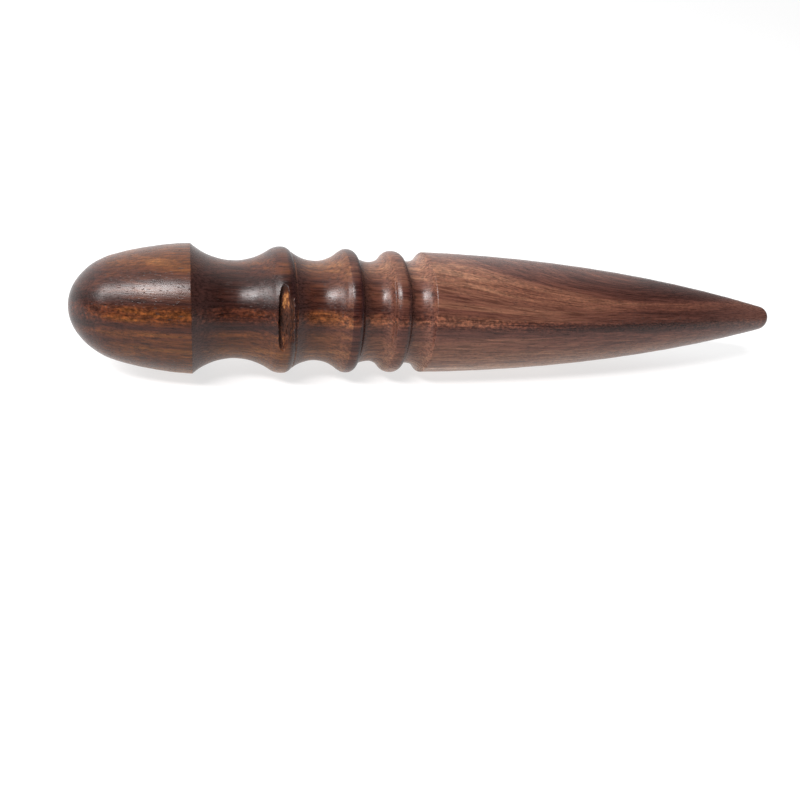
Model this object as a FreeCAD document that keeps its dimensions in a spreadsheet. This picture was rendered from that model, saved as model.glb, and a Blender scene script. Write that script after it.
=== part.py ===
import FreeCAD, Part
import math
import os

import Sketcher

# Wood edge slicker: one billet of hardwood turned between centres.
# Sketches use x along the turning axis, counted from the sharp shoulder behind the
# bulb, and y as the radius. The finished part lies along +X on the floor, z = 0.

VECTOR = FreeCAD.Vector
NORMAL = VECTOR(0, 0, 1)
ORIGIN = (-1, 1)
AXIS_X = -1
AXIS_Y = -2
START = 1
END = 2
CENTRE = 3
HALVINGS = 60

# All sizes are in millimetres, and angles in degrees.
DIMENSIONS = [
    ("bulb_length", 20.9, "bulb, from its nose to the sharp shoulder"),
    ("stem_length", 129.1, "shoulder to the end of the tip"),
    ("crest_radius", 12.0, "shoulder, beads and ridge, all turned to one diameter"),
    ("clear_radius", 13.0, "outer edge of the material that a groove's cut sweeps"),
    ("nose_radius", 8.5, "front of the bulb"),
    ("nose_reach", 1.4, "length of the bulb that the nose arc covers"),
    ("cheek_radius", 12.0, "bulb behind the nose"),
    ("flank_radius", 55.0, "nearly straight side of the bulb, up to the shoulder"),
    ("ridge_at", 44.2, "sharp ridge where the grooves end and the taper begins"),
    ("taper_radius", 393.0, "long slow curve from the ridge to the tip"),
    ("tip_radius", 2.7, "radius where the taper turns into the blunt tip"),
    ("tip_edge_radius", 2.2, "rounded edge of the tip"),
    ("tip_face_radius", 4.4, "slightly domed end face of the tip"),
    ("fifteen_root_at", 7.5, "deepest line of the 15 mm groove"),
    ("fifteen_root_radius", 9.15, "radius left at that line"),
    ("fifteen_bead_radius", 3.6, "rounding up to the first bead"),
    ("nine_crest_end", 16.5, "end of the first bead's level crest"),
    ("nine_lip_at", 17.9, "crisp edge of the first bead"),
    ("nine_lip_radius", 11.35, "radius at that edge"),
    ("nine_foot_at", 18.15, "foot of the small wall under the edge"),
    ("nine_root_at", 22.7, "deepest line of the 9 mm groove"),
    ("nine_root_radius", 9.58, "radius left at that line"),
    ("nine_left_sweep", 7.3, "hollow from the wall to the deepest line"),
    ("nine_right_sweep", 6.9, "hollow from the deepest line to the next bead"),
    ("nine_bead_radius", 2.3, "rounding up to the second bead"),
    ("six_crest_end", 29.1, "end of the second bead's level crest"),
    ("six_lip_at", 30.35, "crisp edge of the second bead"),
    ("six_lip_radius", 11.35, "radius at that edge"),
    ("six_foot_at", 30.7, "foot of the wall under the edge"),
    ("six_root_at", 33.5, "deepest line of the 6 mm groove"),
    ("six_root_radius", 9.72, "radius left at that line"),
    ("six_left_sweep", 5.4, "hollow from the wall to the deepest line"),
    ("six_right_sweep", 3.2, "hollow from the deepest line to the next bead"),
    ("six_bead_radius", 2.0, "rounding up to the third bead"),
    ("four_crest_end", 38.0, "end of the third bead's level crest"),
    ("four_lip_at", 39.3, "crisp edge of the third bead"),
    ("four_lip_radius", 11.5, "radius at that edge"),
    ("four_foot_at", 39.75, "foot of the wall under the edge"),
    ("four_root_at", 41.25, "deepest line of the 4 mm groove"),
    ("four_root_radius", 10.1, "radius left at that line"),
    ("four_left_sweep", 3.6, "hollow from the wall to the deepest line"),
    ("void_at", 15.9, "natural void in the first bead, middle of its width"),
    ("void_width", 2.2, "width of the void along the turning axis"),
    ("void_floor_radius", 10.45, "distance of the void's floor from the turning axis"),
    ("void_angle", 160.0, "direction the void faces, counted from +Y towards +Z"),
    ("void_span", 20.0, "length of the straight cut that opens the void"),
]
GROOVES = ("fifteen", "nine", "six", "four")


def make_sheet(document):
    sheet = document.addObject("Spreadsheet::Sheet", "Sizes")
    for row, (alias, value, meaning) in enumerate(DIMENSIONS, start=1):
        sheet.set(f"A{row}", alias)
        sheet.set(f"B{row}", str(value))
        sheet.set(f"C{row}", meaning)
        sheet.setAlias(f"B{row}", alias)
    document.recompute()
    return sheet


def make_sketch(body, name):
    plane = next(f for f in body.Origin.OriginFeatures if f.Role == "XY_Plane")
    sketch = body.newObject("Sketcher::SketchObject", name)
    sketch.AttachmentSupport = [(plane, "")]
    sketch.MapMode = "FlatFace"
    return sketch


def add_line(sketch, start, end):
    return sketch.addGeometry(Part.LineSegment(VECTOR(*start, 0), VECTOR(*end, 0)))


def add_arc(sketch, centre, start, end):
    """An arc that runs anticlockwise about its centre from start to end."""
    radius = math.dist(centre, start)
    circle = Part.Circle(VECTOR(*centre, 0), NORMAL, radius)
    first = math.atan2(start[1] - centre[1], start[0] - centre[0])
    last = math.atan2(end[1] - centre[1], end[0] - centre[0])
    if last < first:
        last += 2 * math.pi
    return sketch.addGeometry(Part.ArcOfCircle(circle, first, last))


def rule(sketch, kind, *where):
    sketch.addConstraint(Sketcher.Constraint(kind, *where))


def measure(sketch, kind, where, alias):
    """A dimension bound to the sheet's cell of the same name."""
    value = getattr(sketch.Document.Sizes, alias)
    index = sketch.addConstraint(Sketcher.Constraint(kind, *where, float(value)))
    name = alias if not repeated(sketch, alias) else f"{alias}_{index}"
    sketch.renameConstraint(index, name)
    sketch.setExpression(f"Constraints.{name}", f"Sizes.{alias}")


def repeated(sketch, alias):
    return any(constraint.Name == alias for constraint in sketch.Constraints)


def at_x(sketch, curve, point, alias):
    measure(sketch, "DistanceX", (*ORIGIN, curve, point), alias)


def at_y(sketch, curve, point, alias):
    measure(sketch, "DistanceY", (*ORIGIN, curve, point), alias)


def radius_of(sketch, curve, alias):
    measure(sketch, "Radius", (curve,), alias)


def toward(start, end, distance):
    """The point that lies the given distance from start on the way to end."""
    share = distance / math.dist(start, end)
    return (start[0] + share * (end[0] - start[0]), start[1] + share * (end[1] - start[1]))


def two_circle_centre(first, first_reach, second, second_reach):
    """The lower point at the given distances from two centres."""
    gap = math.dist(first, second)
    along = (gap**2 + first_reach**2 - second_reach**2) / (2 * gap)
    aside = math.sqrt(first_reach**2 - along**2)
    middle = toward(first, second, along)
    across = ((second[1] - first[1]) / gap, -(second[0] - first[0]) / gap)
    ends = [(middle[0] + side * across[0], middle[1] + side * across[1]) for side in (aside, -aside)]
    return min(ends, key=lambda point: point[1])


def bulb_points(size):
    """Nose, cheek and flank arcs, each tangent to the next, from the nose to the shoulder."""
    nose = (-size.bulb_length, 0.0)
    nose_centre = (nose[0] + size.nose_radius, 0.0)
    nose_back = size.nose_radius - size.nose_reach
    nose_end = (nose_centre[0] - nose_back, math.sqrt(size.nose_radius**2 - nose_back**2))
    cheek_centre = toward(nose_end, nose_centre, size.cheek_radius)
    shoulder = (0.0, float(size.crest_radius))
    flank_reach = size.flank_radius - size.cheek_radius
    flank_centre = two_circle_centre(shoulder, size.flank_radius, cheek_centre, flank_reach)
    cheek_end = toward(flank_centre, cheek_centre, size.flank_radius)
    return nose, nose_centre, nose_end, cheek_centre, cheek_end, flank_centre, shoulder


def tip_points(size):
    """Taper, edge and end-face arcs, each tangent to the next, from the ridge to the tip."""
    ridge = (float(size.ridge_at), float(size.crest_radius))
    tip = (float(size.stem_length), 0.0)
    face_centre = (tip[0] - size.tip_face_radius, 0.0)
    face_reach = size.tip_face_radius - size.tip_edge_radius
    low, high = face_centre[0], tip[0]
    for _ in range(HALVINGS):
        middle = (low + high) / 2
        edge_centre = (middle, math.sqrt(max(face_reach**2 - (middle - face_centre[0]) ** 2, 0.0)))
        taper_reach = size.taper_radius - size.tip_edge_radius
        taper_centre = two_circle_centre(ridge, size.taper_radius, edge_centre, taper_reach)
        taper_end = toward(taper_centre, edge_centre, size.taper_radius)
        if taper_end[1] > size.tip_radius:
            low = middle
        else:
            high = middle
    edge_end = toward(face_centre, edge_centre, size.tip_face_radius)
    return ridge, taper_centre, taper_end, edge_centre, edge_end, face_centre, tip


def sketch_blank(sketch):
    """Half of the blank's outline: bulb, the straight stretch for the grooves, taper and tip."""
    size = sketch.Document.Sizes
    nose, nose_centre, nose_end, cheek_centre, cheek_end, flank_centre, shoulder = bulb_points(size)
    ridge, taper_centre, taper_end, edge_centre, edge_end, face_centre, tip = tip_points(size)
    front = add_arc(sketch, nose_centre, nose_end, nose)
    cheek = add_arc(sketch, cheek_centre, cheek_end, nose_end)
    flank = add_arc(sketch, flank_centre, shoulder, cheek_end)
    crest = add_line(sketch, shoulder, ridge)
    taper = add_arc(sketch, taper_centre, taper_end, ridge)
    edge = add_arc(sketch, edge_centre, edge_end, taper_end)
    face = add_arc(sketch, face_centre, tip, edge_end)
    core = add_line(sketch, tip, nose)
    rule(sketch, "Tangent", front, START, cheek, END)
    rule(sketch, "Tangent", cheek, START, flank, END)
    rule(sketch, "Coincident", flank, START, crest, START)
    rule(sketch, "Coincident", crest, END, taper, END)
    rule(sketch, "Tangent", taper, START, edge, END)
    rule(sketch, "Tangent", edge, START, face, END)
    rule(sketch, "Coincident", face, START, core, START)
    rule(sketch, "Coincident", core, END, front, END)
    rule(sketch, "Horizontal", crest)
    for curve, point in ((core, START), (core, END), (front, CENTRE), (face, CENTRE)):
        rule(sketch, "PointOnObject", curve, point, AXIS_X)
    rule(sketch, "PointOnObject", crest, START, AXIS_Y)
    measure(sketch, "DistanceX", (front, END, *ORIGIN), "bulb_length")
    measure(sketch, "DistanceX", (front, END, front, START), "nose_reach")
    at_x(sketch, face, START, "stem_length")
    at_x(sketch, crest, END, "ridge_at")
    at_y(sketch, crest, START, "crest_radius")
    at_y(sketch, taper, START, "tip_radius")
    radius_of(sketch, front, "nose_radius")
    radius_of(sketch, cheek, "cheek_radius")
    radius_of(sketch, flank, "flank_radius")
    radius_of(sketch, taper, "taper_radius")
    radius_of(sketch, edge, "tip_edge_radius")
    radius_of(sketch, face, "tip_face_radius")


def add_lip(sketch, groove):
    """The bead's rounded side, its crisp edge and the small wall below. Returns (start, wall)."""
    size = sketch.Document.Sizes
    crest_end = (getattr(size, f"{groove}_crest_end"), size.crest_radius)
    lip = (getattr(size, f"{groove}_lip_at"), getattr(size, f"{groove}_lip_radius"))
    run = lip[0] - crest_end[0]
    drop = crest_end[1] - lip[1]
    rounding = (run**2 + drop**2) / (2 * drop)
    side = add_arc(sketch, (crest_end[0], crest_end[1] - rounding), lip, crest_end)
    rule(sketch, "Vertical", side, CENTRE, side, END)
    at_x(sketch, side, END, f"{groove}_crest_end")
    at_y(sketch, side, END, "crest_radius")
    at_x(sketch, side, START, f"{groove}_lip_at")
    at_y(sketch, side, START, f"{groove}_lip_radius")
    foot_x = getattr(size, f"{groove}_foot_at")
    wall = add_line(sketch, lip, (foot_x, left_height(size, groove, foot_x)))
    rule(sketch, "Coincident", wall, START, side, START)
    return (side, END, crest_end), wall


def left_height(size, groove, x):
    """The radius of the groove's left hollow at x."""
    root_x = getattr(size, f"{groove}_root_at")
    sweep = getattr(size, f"{groove}_left_sweep")
    depth = sweep - math.sqrt(sweep**2 - (root_x - x) ** 2)
    return getattr(size, f"{groove}_root_radius") + depth


def add_bead(sketch, groove, hollow_centre, sweep):
    """The rounding from the groove's right hollow up to the next bead. Returns its two ends."""
    size = sketch.Document.Sizes
    rounding = getattr(size, f"{groove}_bead_radius")
    centre_y = size.crest_radius - rounding
    rise = hollow_centre[1] - centre_y
    centre_x = hollow_centre[0] + math.sqrt((sweep + rounding) ** 2 - rise**2)
    centre = (centre_x, centre_y)
    crest = (centre_x, float(size.crest_radius))
    join = toward(hollow_centre, centre, sweep)
    bead = add_arc(sketch, centre, crest, join)
    rule(sketch, "Vertical", bead, CENTRE, bead, START)
    at_y(sketch, bead, START, "crest_radius")
    radius_of(sketch, bead, f"{groove}_bead_radius")
    return bead, crest, join


def add_hollows(sketch, groove, foot, rim):
    """The groove's left and right hollows, which meet level at its deepest line."""
    size = sketch.Document.Sizes
    root = (getattr(size, f"{groove}_root_at"), getattr(size, f"{groove}_root_radius"))
    left_reach = chord_radius(root, foot)
    left = add_arc(sketch, (root[0], root[1] + left_reach), foot, root)
    right_reach = chord_radius(root, rim)
    right = add_arc(sketch, (root[0], root[1] + right_reach), root, rim)
    rule(sketch, "Vertical", left, CENTRE, left, END)
    rule(sketch, "Vertical", right, CENTRE, right, START)
    rule(sketch, "Coincident", left, END, right, START)
    at_x(sketch, left, END, f"{groove}_root_at")
    at_y(sketch, left, END, f"{groove}_root_radius")
    return left, right


def chord_radius(root, end):
    """Radius of the arc that is level at root and passes through end."""
    run = end[0] - root[0]
    rise = end[1] - root[1]
    return (run**2 + rise**2) / (2 * rise)


def close_outside(sketch, right, left):
    """Joins a groove's two rims outside the blank. Each rim is (curve, point, place)."""
    size = sketch.Document.Sizes
    outer = float(size.clear_radius)
    rise = add_line(sketch, right[2], (right[2][0], outer))
    across = add_line(sketch, (right[2][0], outer), (left[2][0], outer))
    fall = add_line(sketch, (left[2][0], outer), left[2])
    rule(sketch, "Vertical", rise)
    rule(sketch, "Horizontal", across)
    rule(sketch, "Vertical", fall)
    rule(sketch, "Coincident", right[0], right[1], rise, START)
    rule(sketch, "Coincident", rise, END, across, START)
    rule(sketch, "Coincident", across, END, fall, START)
    rule(sketch, "Coincident", fall, END, left[0], left[1])
    at_y(sketch, across, START, "clear_radius")


def sketch_fifteen(sketch):
    """The 15 mm groove, which starts at the sharp shoulder."""
    size = sketch.Document.Sizes
    shoulder = (0.0, float(size.crest_radius))
    root = (size.fifteen_root_at, size.fifteen_root_radius)
    sweep = chord_radius(root, shoulder)
    hollow_centre = (root[0], root[1] + sweep)
    bead, crest, join = add_bead(sketch, "fifteen", hollow_centre, sweep)
    left, right = add_hollows(sketch, "fifteen", shoulder, join)
    rule(sketch, "PointOnObject", left, START, AXIS_Y)
    at_y(sketch, left, START, "crest_radius")
    rule(sketch, "Equal", left, right)
    rule(sketch, "Tangent", right, END, bead, END)
    close_outside(sketch, (bead, START, crest), (left, START, shoulder))


def sketch_between_beads(sketch, groove):
    """A groove with a bead on each side, as the 9 mm and the 6 mm ones."""
    size = sketch.Document.Sizes
    rim, wall = add_lip(sketch, groove)
    root = (getattr(size, f"{groove}_root_at"), getattr(size, f"{groove}_root_radius"))
    sweep = getattr(size, f"{groove}_right_sweep")
    bead, crest, join = add_bead(sketch, groove, (root[0], root[1] + sweep), sweep)
    foot_x = getattr(size, f"{groove}_foot_at")
    foot = (foot_x, left_height(size, groove, foot_x))
    left, right = add_hollows(sketch, groove, foot, join)
    rule(sketch, "Coincident", wall, END, left, START)
    at_x(sketch, left, START, f"{groove}_foot_at")
    radius_of(sketch, left, f"{groove}_left_sweep")
    radius_of(sketch, right, f"{groove}_right_sweep")
    rule(sketch, "Tangent", right, END, bead, END)
    close_outside(sketch, (bead, START, crest), rim)


def sketch_four(sketch):
    """The 4 mm groove, which ends at the sharp ridge."""
    size = sketch.Document.Sizes
    rim, wall = add_lip(sketch, "four")
    foot_x = size.four_foot_at
    foot = (foot_x, left_height(size, "four", foot_x))
    ridge = (float(size.ridge_at), float(size.crest_radius))
    left, right = add_hollows(sketch, "four", foot, ridge)
    rule(sketch, "Coincident", wall, END, left, START)
    at_x(sketch, left, START, "four_foot_at")
    radius_of(sketch, left, "four_left_sweep")
    at_x(sketch, right, END, "ridge_at")
    at_y(sketch, right, END, "crest_radius")
    close_outside(sketch, (right, END, ridge), rim)


def sketch_void(sketch):
    """Cross-section of the natural void: a narrow U, open outwards."""
    size = sketch.Document.Sizes
    half = size.void_width / 2
    left_x = size.void_at - half
    right_x = size.void_at + half
    spring = size.void_floor_radius + half
    outer = float(size.clear_radius)
    floor = add_arc(sketch, (size.void_at, spring), (left_x, spring), (right_x, spring))
    right = add_line(sketch, (right_x, spring), (right_x, outer))
    mouth = add_line(sketch, (right_x, outer), (left_x, outer))
    left = add_line(sketch, (left_x, outer), (left_x, spring))
    rule(sketch, "Tangent", floor, END, right, START)
    rule(sketch, "Tangent", left, END, floor, START)
    rule(sketch, "Coincident", right, END, mouth, START)
    rule(sketch, "Coincident", mouth, END, left, START)
    rule(sketch, "Horizontal", mouth)
    rule(sketch, "Vertical", left)
    rule(sketch, "Vertical", right)
    at_x(sketch, floor, CENTRE, "void_at")
    measure(sketch, "DistanceX", (left, START, right, END), "void_width")
    at_y(sketch, mouth, START, "clear_radius")
    spring_height = Sketcher.Constraint("DistanceY", *ORIGIN, floor, CENTRE, spring)
    index = sketch.addConstraint(spring_height)
    sketch.renameConstraint(index, "void_spring")
    sketch.setExpression("Constraints.void_spring", "Sizes.void_floor_radius + Sizes.void_width / 2")


def turn_blank(body):
    sketch = make_sketch(body, "blank_outline")
    sketch_blank(sketch)
    turned = body.newObject("PartDesign::Revolution", "blank")
    turned.Profile = sketch
    turned.ReferenceAxis = (sketch, ["H_Axis"])
    turned.Angle = 360.0


def turn_groove(body, groove):
    sketch = make_sketch(body, f"groove_{groove}_outline")
    if groove == "fifteen":
        sketch_fifteen(sketch)
    elif groove == "four":
        sketch_four(sketch)
    else:
        sketch_between_beads(sketch, groove)
    cut = body.newObject("PartDesign::Groove", f"groove_{groove}")
    cut.Profile = sketch
    cut.ReferenceAxis = (sketch, ["H_Axis"])
    cut.Angle = 360.0


def open_void(body):
    """A straight scoop across the first bead, which the round surface ends on both sides."""
    sketch = make_sketch(body, "void_outline")
    facing = FreeCAD.Rotation(VECTOR(1, 0, 0), body.Document.Sizes.void_angle)
    sketch.AttachmentOffset = FreeCAD.Placement(VECTOR(0, 0, 0), facing)
    sketch.setExpression("AttachmentOffset.Rotation.Angle", "Sizes.void_angle")
    sketch_void(sketch)
    scoop = body.newObject("PartDesign::Pocket", "natural_void")
    scoop.Profile = sketch
    scoop.SideType = "Symmetric"
    scoop.setExpression("Length", "Sizes.void_span")


def make_slicker(document):
    body = document.addObject("PartDesign::Body", "turned_body")
    body.Label = "turned_body"
    turn_blank(body)
    document.recompute()
    volume = body.Shape.Volume
    for groove in GROOVES:
        turn_groove(body, groove)
        volume = require_less(document, body, volume)
    open_void(body)
    require_less(document, body, volume)
    body.setExpression("Placement.Base.x", "(Sizes.bulb_length - Sizes.stem_length) / 2")
    body.setExpression("Placement.Base.z", "Sizes.crest_radius")
    document.recompute()
    return body


def require_less(document, body, volume):
    """Recomputes and makes sure that the newest cut removed material."""
    document.recompute()
    if body.Shape.Volume >= volume:
        raise RuntimeError(f"{body.Tip.Name} removed nothing")
    return body.Shape.Volume


def require_sound(document, body):
    for item in document.Objects:
        if "Invalid" in item.State or "Error" in item.State:
            raise RuntimeError(f"{item.Name} failed: {item.State}")
    if body.Shape.isNull() or not body.Shape.isValid() or len(body.Shape.Solids) != 1:
        raise RuntimeError(f"{body.Label} is not one valid solid")


def main():
    document = FreeCAD.newDocument("edge_slicker")
    make_sheet(document)
    slicker = make_slicker(document)
    require_sound(document, slicker)
    os.makedirs("parts", exist_ok=True)
    slicker.Shape.exportStep(f"parts/{slicker.Label}.step")
    box = slicker.Shape.optimalBoundingBox()
    print(f"{slicker.Label}: {box.XLength:.2f} x {box.YLength:.2f} x {box.ZLength:.2f} mm")
    centre = slicker.Shape.Solids[0].CenterOfMass
    print(f"volume {slicker.Shape.Volume:.0f} mm3, centre of mass at x = {centre.x:.2f} mm")


main()
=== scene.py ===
import math

import bpy
import numpy as np
from mathutils import Matrix, Vector, noise


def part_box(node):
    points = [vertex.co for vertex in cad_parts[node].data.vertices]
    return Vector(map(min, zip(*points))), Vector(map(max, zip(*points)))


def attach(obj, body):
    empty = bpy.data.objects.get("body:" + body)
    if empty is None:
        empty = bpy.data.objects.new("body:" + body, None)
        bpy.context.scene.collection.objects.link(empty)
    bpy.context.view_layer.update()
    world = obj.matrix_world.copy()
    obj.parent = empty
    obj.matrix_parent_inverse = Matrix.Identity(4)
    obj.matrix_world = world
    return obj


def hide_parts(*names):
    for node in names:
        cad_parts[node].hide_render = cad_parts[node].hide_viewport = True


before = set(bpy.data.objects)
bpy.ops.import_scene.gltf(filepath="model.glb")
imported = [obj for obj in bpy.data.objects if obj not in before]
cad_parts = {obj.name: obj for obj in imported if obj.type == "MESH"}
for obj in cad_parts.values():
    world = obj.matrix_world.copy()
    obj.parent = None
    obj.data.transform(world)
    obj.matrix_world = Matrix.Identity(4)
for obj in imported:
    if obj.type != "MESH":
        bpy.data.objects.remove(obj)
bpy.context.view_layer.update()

# Wood edge slicker. Lengths in the outline are millimetres along the turning axis,
# counted from the sharp shoulder, as in the part's own sketches. The mesh is in metres.

MM = 0.001
NODE = "turned_body"
CREST = 12.0
BULB_LENGTH = 20.9
STEM_LENGTH = 129.1
RIDGE_AT = 44.2

# Each groove: root place, root radius, left sweep, right sweep, rounding up to the bead.
NINE = {"root": 22.7, "depth_at": 9.58, "left": 7.3, "right": 6.9, "bead": 2.3}
SIX = {"root": 33.5, "depth_at": 9.72, "left": 5.4, "right": 3.2, "bead": 2.0}
# Each bead's right side: end of the level crest, crisp edge, radius there, foot of the wall.
LIP_ONE = {"crest": 16.5, "edge": 17.9, "radius": 11.35, "foot": 18.15}
LIP_TWO = {"crest": 29.1, "edge": 30.35, "radius": 11.35, "foot": 30.7}
LIP_THREE = {"crest": 38.0, "edge": 39.3, "radius": 11.5, "foot": 39.75}

# Marks of the turning tool: the edge of a flat on the second bead, and a scored line on the third.
FLAT_AT = 28.15
SCORED_AT = 36.45

# The beads' right sides are darker, partly the wood's own colour and partly painted shade where they face
# away from the light: from, to, how dark.
DARK_SHADED_BEAD_SIDES = [(16.9, 17.9, 0.5), (28.15, 30.4, 0.9), (36.7, 39.3, 0.4)]

# The natural void in the first bead: where, which way it faces above -Y, its length along the rim.
VOID_AT = 15.75
VOID_FACING = 20.0
VOID_LENGTH = 12.4


# ---------------------------------------------------------------- outline of the turning


def upper(centre, radius, x):
    return centre[1] + np.sqrt(np.maximum(radius**2 - (x - centre[0]) ** 2, 0.0))


def hollow(root_at, root_radius, sweep, x):
    return root_radius + sweep - np.sqrt(np.maximum(sweep**2 - (x - root_at) ** 2, 0.0))


def toward(start, end, distance):
    share = distance / math.dist(start, end)
    return (start[0] + share * (end[0] - start[0]), start[1] + share * (end[1] - start[1]))


def two_circle_centre(first, first_reach, second, second_reach):
    """The lower point at the given distances from two centres."""
    gap = math.dist(first, second)
    along = (gap**2 + first_reach**2 - second_reach**2) / (2 * gap)
    aside = math.sqrt(first_reach**2 - along**2)
    middle = toward(first, second, along)
    across = ((second[1] - first[1]) / gap, -(second[0] - first[0]) / gap)
    ends = [(middle[0] + side * across[0], middle[1] + side * across[1]) for side in (aside, -aside)]
    return min(ends, key=lambda point: point[1])


def bulb_stretches():
    """Nose, cheek and flank: (end, radius as a function of x)."""
    nose_radius, reach, cheek_radius, flank_radius = 8.5, 1.4, 12.0, 55.0
    nose_centre = (nose_radius - BULB_LENGTH, 0.0)
    back = nose_radius - reach
    nose_end = (nose_centre[0] - back, math.sqrt(nose_radius**2 - back**2))
    cheek_centre = toward(nose_end, nose_centre, cheek_radius)
    flank_centre = two_circle_centre((0.0, CREST), flank_radius, cheek_centre, flank_radius - cheek_radius)
    cheek_end = toward(flank_centre, cheek_centre, flank_radius)
    return [
        (nose_end[0], lambda x: upper(nose_centre, nose_radius, x)),
        (cheek_end[0], lambda x: upper(cheek_centre, cheek_radius, x)),
        (0.0, lambda x: upper(flank_centre, flank_radius, x)),
    ]


def tip_stretches():
    """Taper, tip edge and end face, each tangent to the next."""
    taper_radius, tip_radius, edge_radius, face_radius = 393.0, 2.7, 2.2, 4.4
    halvings = 50
    face_centre = (STEM_LENGTH - face_radius, 0.0)
    reach = face_radius - edge_radius
    low, high = face_centre[0], STEM_LENGTH
    for _ in range(halvings):
        middle = (low + high) / 2
        edge_centre = (middle, math.sqrt(max(reach**2 - (middle - face_centre[0]) ** 2, 0.0)))
        taper_centre = two_circle_centre(
            (RIDGE_AT, CREST), taper_radius, edge_centre, taper_radius - edge_radius
        )
        taper_end = toward(taper_centre, edge_centre, taper_radius)
        if taper_end[1] > tip_radius:
            low = middle
        else:
            high = middle
    edge_end = toward(face_centre, edge_centre, face_radius)
    return [
        (taper_end[0], lambda x: upper(taper_centre, taper_radius, x)),
        (edge_end[0], lambda x: upper(edge_centre, edge_radius, x)),
        (STEM_LENGTH, lambda x: upper(face_centre, face_radius, x)),
    ]


def rise_to_bead(root_at, root_radius, sweep, rounding):
    """The right hollow of a groove and the rounding on to the next bead's level crest."""
    centre_y = CREST - rounding
    rise = root_radius + sweep - centre_y
    bead_at = root_at + math.sqrt((sweep + rounding) ** 2 - rise**2)
    join_at = root_at + (bead_at - root_at) * sweep / (sweep + rounding)
    return [
        (join_at, lambda x: hollow(root_at, root_radius, sweep, x)),
        (bead_at, lambda x: upper((bead_at, centre_y), rounding, x)),
    ]


def lip(shape, next_hollow):
    """A bead's level crest, its rounded right side, and the wall below the crisp edge."""
    run = shape["edge"] - shape["crest"]
    drop = CREST - shape["radius"]
    rounding = (run**2 + drop**2) / (2 * drop)
    foot_radius = float(next_hollow(shape["foot"]))
    fall = (foot_radius - shape["radius"]) / (shape["foot"] - shape["edge"])
    return [
        (shape["crest"], lambda x: np.full_like(x, CREST)),
        (shape["edge"], lambda x: upper((shape["crest"], CREST - rounding), rounding, x)),
        (shape["foot"], lambda x: shape["radius"] + fall * (x - shape["edge"])),
    ]


def groove_stretches():
    """The four grooves with the beads between them, from the shoulder to the ridge."""
    fifteen_root, fifteen_radius, fifteen_rounding = 7.5, 9.15, 3.6
    shoulder_rise = CREST - fifteen_radius
    fifteen_sweep = (fifteen_root**2 + shoulder_rise**2) / (2 * shoulder_rise)
    four_root, four_radius, four_sweep = 41.25, 10.1, 3.6
    ridge_run, ridge_rise = RIDGE_AT - four_root, CREST - four_radius
    ridge_sweep = (ridge_run**2 + ridge_rise**2) / (2 * ridge_rise)

    def nine_left(x):
        return hollow(NINE["root"], NINE["depth_at"], NINE["left"], x)

    def six_left(x):
        return hollow(SIX["root"], SIX["depth_at"], SIX["left"], x)

    def four_left(x):
        return hollow(four_root, four_radius, four_sweep, x)

    return [
        *rise_to_bead(fifteen_root, fifteen_radius, fifteen_sweep, fifteen_rounding),
        *lip(LIP_ONE, nine_left),
        (NINE["root"], nine_left),
        *rise_to_bead(NINE["root"], NINE["depth_at"], NINE["right"], NINE["bead"]),
        *lip(LIP_TWO, six_left),
        (SIX["root"], six_left),
        *rise_to_bead(SIX["root"], SIX["depth_at"], SIX["right"], SIX["bead"]),
        *lip(LIP_THREE, four_left),
        (four_root, four_left),
        (RIDGE_AT, lambda x: hollow(four_root, four_radius, ridge_sweep, x)),
    ]


def fine_outline():
    """The whole outline at closely spaced places, closer still at the two round ends."""
    stretches = bulb_stretches() + groove_stretches() + tip_stretches()
    samples = 9001
    turn = np.linspace(0.0, math.pi, samples)
    even = np.linspace(-BULB_LENGTH, STEM_LENGTH, samples)
    ends = (STEM_LENGTH - BULB_LENGTH) / 2 - (STEM_LENGTH + BULB_LENGTH) / 2 * np.cos(turn)
    places = np.unique(np.concatenate([even, ends]))
    radius = np.zeros_like(places)
    start = -BULB_LENGTH
    for end, shape in stretches:
        inside = (places >= start) & (places <= end)
        radius[inside] = shape(places[inside])
        start = end
    return places, radius


def along(places, radius):
    """Distance run along the outline up to each place."""
    return np.concatenate([[0.0], np.cumsum(np.hypot(np.diff(places), np.diff(radius)))])


def blurred(values, spread, mirror):
    """Gaussian blur along the outline. Past its ends it goes on, mirrored about the axis."""
    reach = int(4 * spread)
    kernel = np.exp(-0.5 * (np.arange(-reach, reach + 1) / spread) ** 2)
    head = mirror * values[reach:0:-1]
    tail = mirror * values[-2 : -reach - 2 : -1]
    return np.convolve(np.concatenate([head, values, tail]), kernel / kernel.sum(), "valid")


def worn_outline():
    """The outline with every sharp edge eased as sanding leaves it, the ridge a little more."""
    places, radius = fine_outline()
    length = along(places, radius)
    step = 0.02
    even = np.linspace(0.0, length[-1], int(length[-1] / step))
    x = np.interp(even, length, places)
    r = np.interp(even, length, radius)
    crisp, soft = 0.055 / step, 0.13 / step
    ridge_reach = 0.8
    near_ridge = np.exp(-(((x - RIDGE_AT) / ridge_reach) ** 2))
    eased_x = blurred(x, crisp, 1) * (1 - near_ridge) + blurred(x, soft, 1) * near_ridge
    eased_r = blurred(r, crisp, -1) * (1 - near_ridge) + blurred(r, soft, -1) * near_ridge
    return eased_x, np.maximum(eased_r, 0.0)


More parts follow.
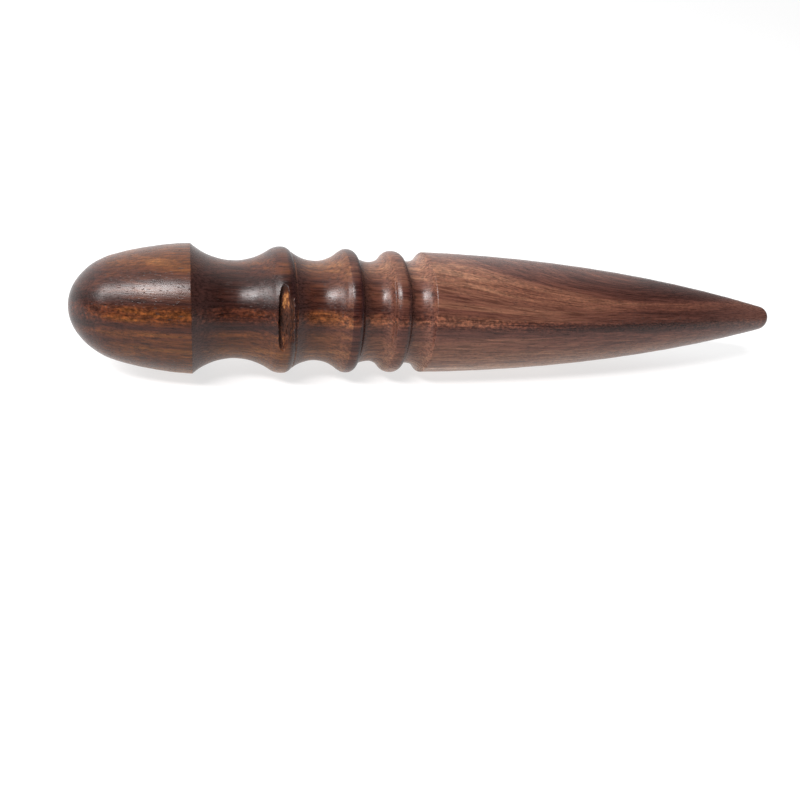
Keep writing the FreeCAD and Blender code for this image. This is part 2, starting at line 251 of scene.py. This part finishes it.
def ring_places(x, r):
    """Rings along the outline, closer where it bends and across the natural void."""
    slope = np.unwrap(np.arctan2(np.gradient(r), np.gradient(x)))
    widest, bend, finest = 1.1, math.radians(3.2), 0.105
    void_half, line_half, mark_half = 1.9, 0.25, 0.3
    length = np.hypot(np.diff(x), np.diff(r))
    cost = length / widest + np.abs(np.diff(slope)) / bend
    middle = (x[1:] + x[:-1]) / 2
    close = (np.abs(middle - VOID_AT - 0.3) < void_half) | (np.abs(middle - SCORED_AT) < line_half)
    close |= np.abs(middle - FLAT_AT + 0.1) < mark_half
    close |= np.abs(middle - LIP_ONE["foot"]) < mark_half
    cost += np.where(close, length / finest, 0.0)
    total = np.concatenate([[0.0], np.cumsum(cost)])
    pick = np.linspace(0.0, total[-1], int(total[-1]))
    return np.interp(pick, total, x), np.interp(pick, total, r)


# ---------------------------------------------------------------- the natural void


def smooth(low, high, value):
    share = np.clip((value - low) / (high - low), 0.0, 1.0)
    return share * share * (3 - 2 * share)


def rough(x, along_rim, scale_x, scale_rim, seed):
    """Noise between -1 and 1 over the void, the same on every run."""
    return np.array(
        [noise.noise(Vector((a * scale_x, b * scale_rim, seed))) for a, b in zip(x, along_rim)]
    )


def void_shape(x, rim):
    """At x and at a distance along the rim: depth in mm, how raw the wood is, and how light, which is
    painted light and shade with lighter splinters on the ledge.
    """
    edge_wander = 0.13 * rough(x * 0, rim, 1.0, 0.9, 3.0) + 0.06 * rough(x * 0, rim, 1.0, 3.1, 9.0)
    ends = np.sqrt(np.clip(1 - (rim / (VOID_LENGTH / 2)) ** 2, 0.0, 1.0))
    left = VOID_AT - 1.0 * ends**0.7 + edge_wander + 0.02 * rim
    right = VOID_AT + 1.05 * ends**0.7 + 0.8 * edge_wander + 0.02 * rim
    left_wall = 0.12 + 0.35 * smooth(0.5, -3.0, rim)
    inside = smooth(0.0, 1.0, (x - left + 0.05) / left_wall)
    inside = inside * smooth(-0.05, 0.2, right - x) * (ends > 0.0)
    floor = 1.75 * smooth(0.0, 0.7, ends) * (1 - 0.35 * smooth(-0.2, 1.6, x - left))
    floor = floor * (1 - 0.55 * smooth(-0.4, -4.4, rim)) * (1 - 0.30 * smooth(2.0, 4.4, rim))
    torn = 0.16 * rough(x, rim, 3.4, 1.3, 5.0) + 0.08 * rough(x, rim, 7.0, 4.2, 7.0)
    deep = inside * np.maximum(floor + torn, 0.15)
    ledge_right = VOID_AT + 1.85 + 0.22 * rough(x * 0, rim, 1.0, 1.6, 13.0)
    ledge_ends = smooth(-5.0, -3.6, rim) * smooth(4.6, 3.2, rim)
    ledge = smooth(-0.1, 0.12, x - right) * smooth(-0.05, 0.18, ledge_right - x) * ledge_ends
    splinter = 0.5 + 0.5 * rough(x, rim, 5.5, 0.55, 21.0)
    chipped = ledge * (0.10 + 0.30 * splinter)
    depth = np.maximum(deep, chipped)
    raw = np.clip(smooth(0.08, 0.4, depth) + 0.3 * ledge, 0.0, 1.0)
    # Lighter at the top and foot of the void and away from its left wall: painted light and shade on the raw
    # wood. The ledge gets lighter splinters at random.
    light_top = smooth(1.2, 2.6, rim) * smooth(5.4, 4.6, rim)
    light_foot = 0.55 * smooth(-2.4, -3.6, rim) * smooth(-6.1, -5.4, rim)
    painted_void_light_and_splinters = np.maximum(light_top, light_foot) * smooth(0.25, 0.8, x - left)
    painted_void_light_and_splinters = np.maximum(painted_void_light_and_splinters * inside, 0.38 * ledge * splinter)
    return depth, raw, painted_void_light_and_splinters


# ---------------------------------------------------------------- mesh


def tool_marks(x, angle):
    """Depth in mm of the marks the turning tool left.

    They are a flat on the second bead, a scored line on the third, and a crease under the
    first bead's edge.
    """
    flat = 0.05 * smooth(FLAT_AT - 1.0, FLAT_AT - 0.35, x) * smooth(FLAT_AT + 0.02, FLAT_AT - 0.25, x)
    facing = np.degrees(angle) % 360
    reach = smooth(-2.0, 8.0, facing) * smooth(62.0, 50.0, facing)
    scored = 0.17 * np.exp(-(((x - SCORED_AT) / 0.10) ** 2)) * reach
    crease = 0.14 * np.exp(-(((x - LIP_ONE["foot"]) / 0.12) ** 2))
    return flat + scored + crease


def ring_angles():
    """Directions round the axis, from -Y towards +Z, closer together across the void."""
    margin, fine_step, coarse_count = 0.9, 0.68, 86
    half = math.degrees((VOID_LENGTH / 2 + margin) / CREST)
    fine = np.arange(VOID_FACING - half, VOID_FACING + half, fine_step)
    coarse = np.linspace(VOID_FACING + half, VOID_FACING + 360 - half, coarse_count, endpoint=False)
    return np.radians(np.concatenate([fine, coarse]))


def turned_mesh():
    """The whole tool as one closed mesh in metres, with raw wood and the void's painted light and shade as
    attributes.
    """
    low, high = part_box(NODE)
    axis_height = (low[2] + high[2]) / 2
    nose_at = low[0]
    crest_scale = (high[2] - low[2]) / (2 * CREST * MM)
    length_scale = (high[0] - low[0]) / ((BULB_LENGTH + STEM_LENGTH) * MM)
    x, r = ring_places(*worn_outline())
    angles = ring_angles()
    x, r = x[1:-1], r[1:-1]
    rings, spokes = len(x), len(angles)
    grid_x = np.repeat(x, spokes)
    grid_r = np.repeat(r, spokes)
    grid_a = np.tile(angles, rings)
    # A turning error of up to 0.022 mm, none at the two ends.
    wander = 0.012 * np.sin(grid_x * 0.83 + 2 * grid_a) + 0.010 * np.sin(grid_x * 2.1 - grid_a + 1.0)
    wander *= smooth(0.0, 4.0, grid_r)
    turn = (np.degrees(grid_a) - VOID_FACING + 180) % 360 - 180
    rim = np.radians(turn) * CREST
    void_reach, rim_margin = 2.8, 0.5
    near = (np.abs(grid_x - VOID_AT) < void_reach) & (np.abs(rim) < VOID_LENGTH / 2 + rim_margin)
    depth = tool_marks(grid_x, grid_a)
    raw = np.zeros_like(grid_x)
    painted_void_light_and_splinters = np.zeros_like(grid_x)
    void_depth, raw[near], painted_void_light_and_splinters[near] = void_shape(grid_x[near], rim[near])
    depth[near] = np.maximum(depth[near], void_depth)
    radius = (grid_r + wander - depth) * MM * crest_scale
    points = np.stack(
        [
            nose_at + (grid_x + BULB_LENGTH) * MM * length_scale,
            -radius * np.cos(grid_a),
            axis_height + radius * np.sin(grid_a),
        ],
        axis=1,
    )
    nose = [nose_at, 0.0, axis_height]
    tip = [high[0], 0.0, axis_height]
    corners = np.concatenate([points, [nose, tip]])
    spoke = np.arange(spokes)
    onward = (spoke + 1) % spokes
    first = np.arange(rings - 1)[:, None] * spokes
    quads = np.stack(
        [first + spoke, first + onward, first + spokes + onward, first + spokes + spoke], axis=-1
    ).reshape(-1, 4)
    last = (rings - 1) * spokes
    nose_index, tip_index = rings * spokes, rings * spokes + 1
    neighbours = list(zip(spoke.tolist(), onward.tolist()))
    faces = quads.tolist()
    faces += [[nose_index, b, a] for a, b in neighbours]
    faces += [[tip_index, last + a, last + b] for a, b in neighbours]
    mesh = bpy.data.meshes.new("slicker")
    mesh.from_pydata(corners.tolist(), [], faces)
    mesh.polygons.foreach_set("use_smooth", [True] * len(mesh.polygons))
    for name, values in (("raw_wood", raw), ("void_painted_light_and_splinters", painted_void_light_and_splinters)):
        attribute = mesh.attributes.new(name, "FLOAT", "POINT")
        attribute.data.foreach_set("value", np.concatenate([values, [0.0, 0.0]]).astype(np.float32))
    mesh.update()
    return mesh


# ---------------------------------------------------------------- material


class Nodes:
    """Short names for making and joining shader nodes."""

    def __init__(self, name):
        self.material = bpy.data.materials.new(name)
        self.material.use_nodes = True
        self.tree = self.material.node_tree
        self.tree.nodes.clear()

    def add(self, kind, inputs=None, **settings):
        made = self.tree.nodes.new(kind)
        for key, value in settings.items():
            setattr(made, key, value)
        for key, value in (inputs or {}).items():
            socket = made.inputs[key]
            if isinstance(value, bpy.types.NodeSocket):
                self.tree.links.new(value, socket)
            else:
                socket.default_value = value
        return made

    def math(self, operation, first, second):
        return self.add("ShaderNodeMath", {0: first, 1: second}, operation=operation).outputs[0]

    def vector(self, operation, first, second):
        made = self.add("ShaderNodeVectorMath", {0: first, 1: second}, operation=operation)
        return made.outputs["Value" if operation == "DOT_PRODUCT" else "Vector"]

    def noise(self, place, scale, detail=3.0, roughness=0.5):
        stretched = self.vector("MULTIPLY", place, scale)
        inputs = {"Vector": stretched, "Scale": 1.0, "Detail": detail, "Roughness": roughness}
        return self.add("ShaderNodeTexNoise", inputs).outputs["Fac"]

    def ramp(self, value, stops):
        """Colour ramp through (place, colour) stops."""
        made = self.add("ShaderNodeValToRGB", {"Fac": value})
        elements = made.color_ramp.elements
        elements[0].position, elements[0].color = stops[0][0], (*stops[0][1], 1.0)
        elements[1].position, elements[1].color = stops[-1][0], (*stops[-1][1], 1.0)
        for place, colour in stops[1:-1]:
            elements.new(place).color = (*colour, 1.0)
        return made.outputs["Color"]

    def step(self, value, low, high):
        """0 below low and 1 above high, smooth between."""
        inputs = {"Value": value, "From Min": low, "From Max": high}
        return self.add("ShaderNodeMapRange", inputs, interpolation_type="SMOOTHSTEP").outputs["Result"]

    def mix(self, share, first, second, blend="MIX"):
        made = self.add("ShaderNodeMix", data_type="RGBA", blend_type=blend)
        for socket, value in ((made.inputs[0], share), (made.inputs[6], first), (made.inputs[7], second)):
            if isinstance(value, bpy.types.NodeSocket):
                self.tree.links.new(value, socket)
            elif socket == made.inputs[0]:
                socket.default_value = value
            else:
                socket.default_value = (*value, 1.0)
        return made.outputs[2]


def growth(n):
    """The wood's coordinates in mm.

    They are the turning's own place, how far along the grain, which growth layer, and a vector
    of along, across and layer.
    """
    place = n.add("ShaderNodeTexCoord").outputs["Object"]
    mm = n.vector("MULTIPLY", place, (1000.0, 1000.0, 1000.0))
    mm = n.vector("SUBTRACT", mm, (0.0, 0.0, CREST))
    bend = n.math("SUBTRACT", n.noise(mm, (0.016, 0.06, 0.06), detail=1.0), 0.5)
    sway = n.add("ShaderNodeCombineXYZ", {"Y": bend, "Z": bend}).outputs[0]
    grain = n.vector("ADD", mm, n.vector("MULTIPLY", sway, (0.0, 1.5, 3.0)))
    run = n.add("ShaderNodeSeparateXYZ", {0: grain}).outputs["X"]
    through_layers, with_layers = (0.0, 0.326, 0.946), (0.0, 0.946, -0.326)
    height = n.vector("DOT_PRODUCT", grain, through_layers)
    across = n.vector("DOT_PRODUCT", grain, with_layers)
    knot = n.math("MULTIPLY", n.step(run, -16.0, 46.0), n.step(height, -1.0, 9.5))
    layer = n.math("ADD", height, n.math("MULTIPLY", knot, 15.0))
    sheet = n.add("ShaderNodeCombineXYZ", {"X": run, "Y": across, "Z": layer}).outputs[0]
    return mm, run, layer, sheet


def growth_bands(n, layer, bands):
    """Tone of the growth layers through (layer in mm, tone) stops."""
    lowest, highest = bands[0][0], bands[-1][0]
    share = n.math("DIVIDE", n.math("SUBTRACT", layer, lowest), highest - lowest)
    return n.ramp(share, [((at - lowest) / (highest - lowest), (tone, tone, tone)) for at, tone in bands])


def pore_marks(n, sheet, stretch, share, thick):
    """Short open pores along the grain, as a mask."""
    pores = n.add("ShaderNodeTexVoronoi", {"Vector": n.vector("MULTIPLY", sheet, stretch), "Scale": 1.0})
    luck = n.add("ShaderNodeSeparateColor", {0: pores.outputs["Color"]}).outputs[0]
    chosen = n.math("LESS_THAN", luck, share)
    return n.math("MULTIPLY", n.step(pores.outputs["Distance"], thick, thick * 0.45), chosen)


def centred(n, value, weight):
    """A noise value moved to lie about zero, times its weight."""
    return n.math("MULTIPLY", n.math("SUBTRACT", value, 0.5), weight)


def dark_shaded_bead_sides(n, mm):
    """Where the beads' right sides are darker, as a mask: the wood's own colour there and painted shade."""
    place = n.add("ShaderNodeSeparateXYZ", {0: mm}).outputs["X"]
    centre = (STEM_LENGTH - BULB_LENGTH) / 2
    mask = 0.0
    for start, end, share in DARK_SHADED_BEAD_SIDES:
        begins = n.step(place, start - centre - 0.1, start - centre + 0.15)
        ends = n.step(place, end - centre + 0.1, end - centre)
        ring = n.math("MULTIPLY", begins, ends)
        mask = n.math("ADD", mask, n.math("MULTIPLY", ring, share))
    return mask


def wood_colour(n, run, layer, sheet, fibre):
    """Colour of the polished wood, its bands and darker parts set to match the picture."""
    left_bands = growth_bands(
        n,
        layer,
        [
            (-12.5, 0.98),
            (-10.0, 0.78),
            (-6.0, 0.66),
            (-4.4, 0.46),
            (-3.2, 0.74),
            (-1.9, 0.28),
            (-0.9, 0.62),
            (1.0, 0.66),
            (2.3, 0.22),
            (3.8, 0.46),
            (6.4, 0.42),
            (8.6, 0.72),
            (10.5, 0.62),
            (13.0, 0.40),
        ],
    )
    right_bands = growth_bands(
        n,
        layer,
        [
            (-12.0, 1.00),
            (-10.5, 0.98),
            (-9.3, 0.82),
            (-6.5, 0.72),
            (-3.0, 0.54),
            (-1.4, 0.42),
            (0.0, 0.60),
            (1.4, 0.46),
            (3.2, 0.58),
            (5.6, 0.56),
            (8.0, 0.74),
            (11.5, 0.76),
            (14.5, 0.30),
            (18.0, 0.42),
            (24.0, 0.58),
        ],
    )
    bands = n.mix(n.step(run, -34.0, -10.0), left_bands, right_bands)
    dark_vein = n.math("MULTIPLY", n.step(layer, -1.9, -0.5), n.step(layer, 1.6, 0.3))
    dark_vein = n.math("MULTIPLY", dark_vein, n.step(run, 0.0, 16.0))
    broad = n.noise(sheet, (0.020, 0.10, 0.22), detail=2.0)
    streak = n.noise(sheet, (0.030, 0.55, 1.2), detail=4.0, roughness=0.62)
    tone = n.math("ADD", n.math("MULTIPLY", bands, 0.72), 0.13)
    # Lighter in the lowest layers, along the underside: painted reflection of the pale floor.
    tone = n.math("ADD", tone, n.math("MULTIPLY", n.step(layer, -8.5, -11.5), 0.16))
    tone = n.math("ADD", tone, centred(n, broad, 0.45))
    tone = n.math("ADD", tone, centred(n, streak, 0.75))
    tone = n.math("SUBTRACT", tone, n.math("MULTIPLY", dark_vein, 0.30))
    darker_taper = n.math("MULTIPLY", n.step(run, 12.0, 44.0), n.step(run, 73.0, 58.0))
    darker_taper = n.math("MULTIPLY", darker_taper, n.step(layer, -3.0, 0.5))
    tone = n.math("SUBTRACT", tone, n.math("MULTIPLY", darker_taper, 0.22))
    # Darker from the shoulder to the second bead, above the lowest layers.
    darker_shoulder_to_bead_two = n.math("MULTIPLY", n.step(run, -55.0, -51.0), n.step(run, -28.0, -42.0))
    darker_shoulder_to_bead_two = n.math("MULTIPLY", darker_shoulder_to_bead_two, n.step(layer, -4.5, -1.0))
    # Darker towards the nose: painted shade there.
    shaded_nose = n.step(run, -64.0, -74.0)
    tone = n.math("SUBTRACT", tone, n.math("MULTIPLY", n.math("MAXIMUM", darker_shoulder_to_bead_two, shaded_nose), 0.22))
    left_wood = n.ramp(
        tone,
        [
            (0.15, (0.017, 0.0058, 0.0046)),
            (0.33, (0.036, 0.0110, 0.0072)),
            (0.48, (0.060, 0.0180, 0.0080)),
            (0.64, (0.096, 0.0310, 0.0090)),
            (0.85, (0.170, 0.0670, 0.0190)),
            (1.00, (0.300, 0.1700, 0.1200)),
        ],
    )
    right_wood = n.ramp(
        tone,
        [
            (0.15, (0.030, 0.0115, 0.0095)),
            (0.33, (0.060, 0.0230, 0.0178)),
            (0.48, (0.098, 0.0380, 0.0268)),
            (0.64, (0.146, 0.0640, 0.0410)),
            (0.85, (0.235, 0.1200, 0.0740)),
            (1.00, (0.380, 0.2500, 0.1950)),
        ],
    )
    wood = n.mix(n.step(run, -40.0, -4.0), left_wood, right_wood)
    wood = n.mix(n.math("MULTIPLY", n.step(run, 44.0, 70.0), 0.6), wood, (0.094, 0.046, 0.038))
    # Slopes that face the tip are darker: painted shade, as these slopes face away from the light, and
    # partly the darker look of cut fibres. Matched to the picture.
    facing = n.add("ShaderNodeSeparateXYZ", {0: n.add("ShaderNodeTexCoord").outputs["Normal"]}).outputs["X"]
    cut_fibres_and_shade = n.math("MULTIPLY", n.step(facing, 0.15, 0.60), n.step(run, 70.0, 60.0))
    wood = n.mix(n.math("MULTIPLY", cut_fibres_and_shade, 0.72), wood, (0.044, 0.020, 0.018))
    lines = n.ramp(fibre, [(0.34, (0.55, 0.52, 0.52)), (0.50, (1.0, 1.0, 1.0)), (0.66, (1.45, 1.4, 1.35))])
    wood = n.mix(1.0, wood, lines, "MULTIPLY")
    fleck = n.noise(sheet, (1.5, 1.9, 1.9), detail=2.0, roughness=0.6)
    ripple = n.ramp(fleck, [(0.38, (0.60, 0.58, 0.56)), (0.50, (1.0, 1.0, 1.0)), (0.62, (1.7, 1.6, 1.4))])
    golden = n.math("MULTIPLY", n.step(layer, -1.9, -0.6), n.step(layer, 2.0, 0.9))
    golden = n.math("MAXIMUM", golden, n.math("MULTIPLY", n.step(bands, 0.55, 0.75), 0.35))
    return n.mix(golden, wood, n.mix(1.0, wood, ripple, "MULTIPLY"))


def hardwood():
    n = Nodes("dark_hardwood")
    mm, run, layer, sheet = growth(n)
    fibre = n.noise(sheet, (0.17, 2.6, 3.2), detail=3.0, roughness=0.65)
    long_pores = pore_marks(n, sheet, (0.50, 2.6, 2.6), 0.20, 0.32)
    short_pores = pore_marks(n, sheet, (1.1, 3.8, 3.8), 0.35, 0.38)
    pore = n.math("MAXIMUM", long_pores, n.math("MULTIPLY", short_pores, 0.7))
    filled = n.math("MULTIPLY", pore, 0.7)
    wood = n.mix(filled, wood_colour(n, run, layer, sheet, fibre), (0.018, 0.008, 0.006))
    # The beads' right sides are darkened towards purple: their own darker wood and painted shade.
    wood = n.mix(dark_shaded_bead_sides(n, mm), wood, n.mix(1.0, wood, (0.50, 0.43, 0.58), "MULTIPLY"))

    raw = n.add("ShaderNodeAttribute", attribute_name="raw_wood").outputs["Fac"]
    # The void's painted light and shade, and its lighter splinters.
    painted_void_light_and_splinters = n.add("ShaderNodeAttribute", attribute_name="void_painted_light_and_splinters").outputs["Fac"]
    torn = n.noise(mm, (2.6, 1.3, 1.3), detail=4.0, roughness=0.7)
    lightness = n.math("ADD", n.math("MULTIPLY", painted_void_light_and_splinters, 0.48), centred(n, torn, 1.7))
    raw_wood = n.ramp(
        n.math("ADD", lightness, 0.14),
        [
            (0.05, (0.028, 0.010, 0.006)),
            (0.30, (0.062, 0.019, 0.009)),
            (0.52, (0.130, 0.042, 0.015)),
            (0.80, (0.400, 0.170, 0.055)),
        ],
    )
    colour = n.mix(raw, wood, raw_wood)

    polish = n.math("ADD", n.math("MULTIPLY", fibre, 0.18), 0.19)
    polish = n.math("ADD", polish, n.math("MULTIPLY", pore, 0.2))
    polish = n.math("ADD", polish, n.math("MULTIPLY", raw, 0.5))

    lathe = n.noise(mm, (5.0, 0.02, 0.02), detail=3.0, roughness=0.6)
    relief = n.math("ADD", n.math("MULTIPLY", fibre, 0.6), n.math("MULTIPLY", lathe, 0.22))
    relief = n.math("SUBTRACT", relief, n.math("MULTIPLY", pore, 0.55))
    relief = n.math("ADD", relief, n.math("MULTIPLY", n.math("MULTIPLY", torn, raw), 2.5))
    bump = n.add("ShaderNodeBump", {"Height": relief, "Strength": 0.4, "Distance": 0.00006})

    surface = n.add(
        "ShaderNodeBsdfPrincipled",
        {
            "Base Color": colour,
            "Roughness": polish,
            "Normal": bump.outputs["Normal"],
            "Specular IOR Level": 0.27,
            "IOR": 1.5,
        },
    )
    output = n.add("ShaderNodeOutputMaterial")
    n.tree.links.new(surface.outputs[0], output.inputs["Surface"])
    return n.material


def floor_material():
    """Plain and pale, and glowing a little as a floor in strong even light does."""
    n = Nodes("pale_floor")
    surface = n.add(
        "ShaderNodeBsdfPrincipled",
        {
            "Base Color": (0.3, 0.3, 0.3, 1.0),
            "Roughness": 0.7,
            "Emission Color": (1.0, 1.0, 1.0, 1.0),
            "Emission Strength": 0.70,
        },
    )
    output = n.add("ShaderNodeOutputMaterial")
    n.tree.links.new(surface.outputs[0], output.inputs["Surface"])
    return n.material


# ---------------------------------------------------------------- scene


def make_slicker():
    piece = bpy.data.objects.new("slicker", turned_mesh())
    bpy.context.scene.collection.objects.link(piece)
    piece.data.materials.append(hardwood())
    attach(piece, "root")
    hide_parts(NODE)


def make_floor():
    half = 6.0
    mesh = bpy.data.meshes.new("floor")
    corners = [(-half, -half, 0), (half, -half, 0), (half, half, 0), (-half, half, 0)]
    mesh.from_pydata(corners, [], [(0, 1, 2, 3)])
    mesh.materials.append(floor_material())
    floor = bpy.data.objects.new("floor", mesh)
    bpy.context.scene.collection.objects.link(floor)


def add_softbox(name, aim, direction, long_side, distance, size, power):
    """A rectangular lamp that looks at aim from the given direction, its long side as given."""
    data = bpy.data.lights.new(name, "AREA")
    data.shape = "RECTANGLE"
    data.size, data.size_y = size
    data.energy = power
    data.color = (1.0, 0.97, 0.97)
    away = Vector(direction).normalized()
    upward = away.cross(Vector(long_side)).normalized()
    turned = Matrix((upward.cross(away), upward, away)).transposed()
    lamp = bpy.data.objects.new(name, data)
    lamp.matrix_world = Matrix.Translation(Vector(aim) + away * distance) @ turned.to_4x4()
    bpy.context.scene.collection.objects.link(lamp)


def studio_world():
    """Light from above and behind, next to none from the front, and a plain pale backdrop to look at."""
    world = bpy.data.worlds.new("studio")
    world.use_nodes = True
    tree = world.node_tree
    direction = tree.nodes.new("ShaderNodeTexCoord")
    toward_back = tree.nodes.new("ShaderNodeVectorMath")
    toward_back.operation = "DOT_PRODUCT"
    toward_back.inputs[1].default_value = (-0.3, 0.74, 0.6)
    tree.links.new(direction.outputs["Generated"], toward_back.inputs[0])
    fade = tree.nodes.new("ShaderNodeMapRange")
    fade.interpolation_type = "SMOOTHSTEP"
    fade.inputs["From Min"].default_value = 0.20
    fade.inputs["From Max"].default_value = 0.95
    fade.inputs["To Min"].default_value = 0.025
    fade.inputs["To Max"].default_value = 1.6
    tree.links.new(toward_back.outputs["Value"], fade.inputs["Value"])
    backdrop = tree.nodes.new("ShaderNodeMix")
    backdrop.inputs["B"].default_value = 0.85
    tree.links.new(tree.nodes.new("ShaderNodeLightPath").outputs["Is Camera Ray"], backdrop.inputs["Factor"])
    tree.links.new(fade.outputs["Result"], backdrop.inputs["A"])
    tree.links.new(backdrop.outputs["Result"], tree.nodes["Background"].inputs["Strength"])
    tree.nodes["Background"].inputs["Color"].default_value = (1.0, 1.0, 1.0, 1.0)
    return world


def light_studio():
    middle, distance = (-0.02, 0.0, 0.012), 0.9
    long_side = (0.815, -0.453, 0.362)
    strip, core, side = (-0.520, -0.335, 0.786), (-0.380, -0.400, 0.834), (-0.82, -0.24, 0.51)
    add_softbox("key_strip", middle, strip, long_side, distance, (0.76, 0.17), 8.5)
    add_softbox("key_core", middle, core, long_side, distance, (0.30, 0.18), 4.6)
    add_softbox("side", middle, side, (0.2, -1.0, 0.0), distance, (0.28, 0.24), 1.7)
    bpy.context.scene.world = studio_world()
    bpy.context.scene.view_settings.view_transform = "Standard"


def place_camera():
    """The photograph's view: from the left, turned to the right, looking down, and a little rolled."""
    data = bpy.data.cameras.new("camera")
    data.sensor_width = 36.0
    data.lens = 32.36
    data.clip_start = 0.01
    data.clip_end = 50.0
    camera = bpy.data.objects.new("camera", data)
    heading, dip, roll = math.radians(19.52), math.radians(33.68), math.radians(10.02)
    turned = Matrix.Rotation(-heading, 4, "Z") @ Matrix.Rotation(math.pi / 2 - dip, 4, "X")
    turned = turned @ Matrix.Rotation(roll, 4, "Z")
    camera.matrix_world = Matrix.Translation((-0.0543, -0.1233, 0.0776)) @ turned
    bpy.context.scene.collection.objects.link(camera)
    bpy.context.scene.camera = camera


make_slicker()
make_floor()
light_studio()
place_camera()
